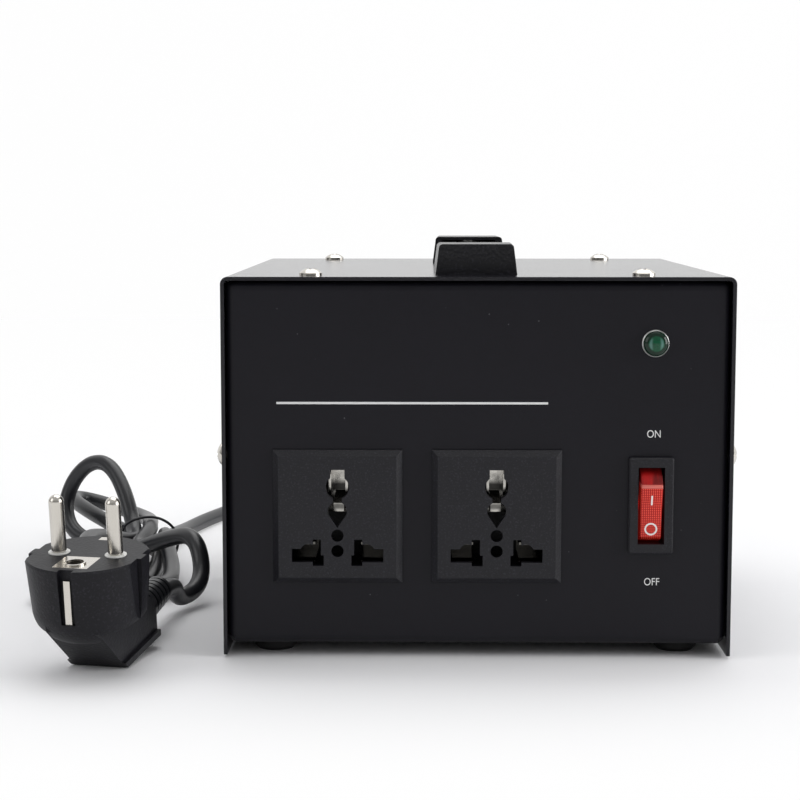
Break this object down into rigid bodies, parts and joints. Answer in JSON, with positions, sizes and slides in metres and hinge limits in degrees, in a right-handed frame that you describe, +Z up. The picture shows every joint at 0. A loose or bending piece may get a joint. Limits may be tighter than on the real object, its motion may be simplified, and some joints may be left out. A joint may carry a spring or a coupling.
{
  "type": "voltage transformer",
  "caption": "Desktop step-down voltage transformer in a bent steel case, with universal sockets, a rocker switch, a carrying strap and a tied mains lead with an angled plug.",
  "frame": {"origin": "middle of the case's footprint on the floor, measured without the lead", "axes": "+X to the right as seen from the sockets' side, +Y to the rear, +Z up"},
  "size_m": [0.2615, 0.3421, 0.135],
  "materials": {
    "case_paint": "satin black powder coat",
    "black_plastic": "fine grain",
    "handle_rubber": "satin",
    "nickel": "nickel plated",
    "zinc": "zinc plated",
    "foot_rubber": "matte",
    "red_rocker": "translucent red",
    "green_lens": "translucent green",
    "contact": "bright",
    "core_steel": "varnished sheet edges",
    "bobbin_plastic": "plain",
    "winding": "enamelled copper wire",
    "cord_sheath": "satin",
    "wire_sheath": "plain",
    "glass": "clear",
    "white_plastic": "plain"
  },
  "bodies": {
    "case": {"bobbin": "bobbin_plastic", "chassis": "case_paint", "cord_gland": "cord_sheath", "cord_hank": "cord_sheath", "cord_lead": "cord_sheath", "cord_tail": "cord_sheath", "core": "core_steel", "core_bolts": "zinc", "core_bracket_front": "zinc", "core_bracket_rear": "zinc", "cover": "case_paint", "earth_stud": "zinc", "foot_1": "foot_rubber", "foot_2": "foot_rubber", "foot_3": "foot_rubber", "foot_4": "foot_rubber", "foot_screws": "zinc", "fuse_holder": "black_plastic", "fuse_nut": "zinc", "handle_cap_front": "black_plastic", "handle_cap_rear": "black_plastic", "handle_screws": "zinc", "handle_strap": "handle_rubber", "lamp_bezel": "nickel", "lamp_lens": "green_lens", "lamp_nut": "zinc", "left_socket_body": "black_plastic", "left_socket_earth": "contact", "left_socket_face": "black_plastic", "left_socket_line": "contact", "left_socket_neutral": "contact", "plug_body": "black_plastic", "plug_earth_clip": "nickel", "plug_insert": "white_plastic", "plug_pins": "nickel", "plug_strain_relief": "cord_sheath", "primary_winding": "winding", "right_socket_body": "black_plastic", "right_socket_earth": "contact", "right_socket_face": "black_plastic", "right_socket_line": "contact", "right_socket_neutral": "contact", "secondary_winding": "winding", "selector_housing": "black_plastic", "selector_screws": "nickel", "side_screws": "nickel", "switch_housing": "black_plastic", "switch_terminals": "contact", "top_screw_1": "nickel", "top_screw_2": "nickel", "top_screw_3": "nickel", "top_screw_4": "nickel", "twist_tie": "cord_sheath", "wire_earth": "wire_sheath", "wire_outputs": "wire_sheath", "wire_supply": "wire_sheath"},
    "rocker": {"switch_rocker": "red_rocker"},
    "selector": {"selector_slider": "red_rocker"},
    "fuse": {"fuse_link": "glass"},
    "fuse_cap": {"fuse_cap": "black_plastic"}
  },
  "joints": [
    {"name": "rocker_tilt", "type": "hinge", "parent": "case", "child": "rocker", "pos_m": [0.0565, -0.08483, 0.0508], "axis": [1, 0, 0], "range_deg": [-24, 0]},
    {"name": "selector_slide", "type": "slide", "parent": "case", "child": "selector", "axis": [-1, 0, 0], "range_m": [0, 0.0058]},
    {"name": "fuse_draw", "type": "slide", "parent": "case", "child": "fuse", "axis": [0, 1, 0], "range_m": [0, 0.032]},
    {"name": "fuse_cap_turn", "type": "hinge", "parent": "fuse", "child": "fuse_cap", "pos_m": [-0.062, 0.08717, 0.084], "axis": [0, 1, 0], "range_deg": [0, 90]}
  ]
}
